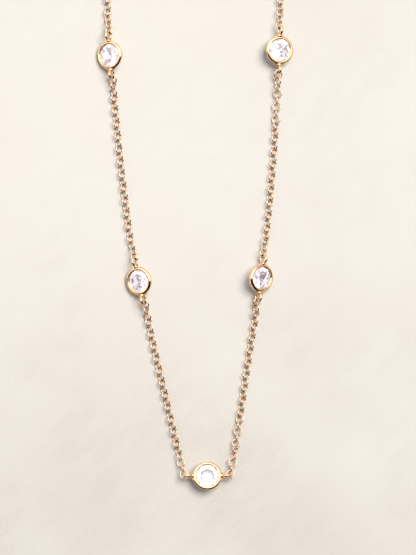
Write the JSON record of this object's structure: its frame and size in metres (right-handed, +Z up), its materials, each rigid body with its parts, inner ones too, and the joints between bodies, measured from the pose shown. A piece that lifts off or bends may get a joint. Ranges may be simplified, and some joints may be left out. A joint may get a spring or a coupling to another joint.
{
  "type": "necklace",
  "caption": "Fine rose-gold station necklace laid flat in a long loop: round faceted stones in open-backed bezels, joined by runs of round cable links, with a clasp at the back",
  "frame": {"origin": "middle of the ground that the necklace covers, on the surface it lies on", "axes": "+Z up, away from the surface; +Y from the front stone toward the clasp; +X to the right as seen from above with the clasp at the top"},
  "size_m": [0.0446, 0.1898, 0.0045],
  "materials": {
    "rose_gold": "polished, gold-plated",
    "cut_stone": "polished facets"
  },
  "bodies": {
    "root": {"setting_1": "rose_gold", "setting_2": "rose_gold", "setting_3": "rose_gold", "setting_4": "rose_gold", "setting_5": "rose_gold", "setting_6": "rose_gold", "setting_7": "rose_gold", "stone_1": "cut_stone", "stone_2": "cut_stone", "stone_3": "cut_stone", "stone_4": "cut_stone", "stone_5": "cut_stone", "stone_6": "cut_stone", "stone_7": "cut_stone", "chain_1": "rose_gold", "chain_2": "rose_gold", "chain_3": "rose_gold", "chain_4": "rose_gold", "chain_5": "rose_gold", "chain_6": "rose_gold", "chain_7": "rose_gold", "chain_8": "rose_gold", "clasp": "rose_gold"}
  },
  "joints": []
}
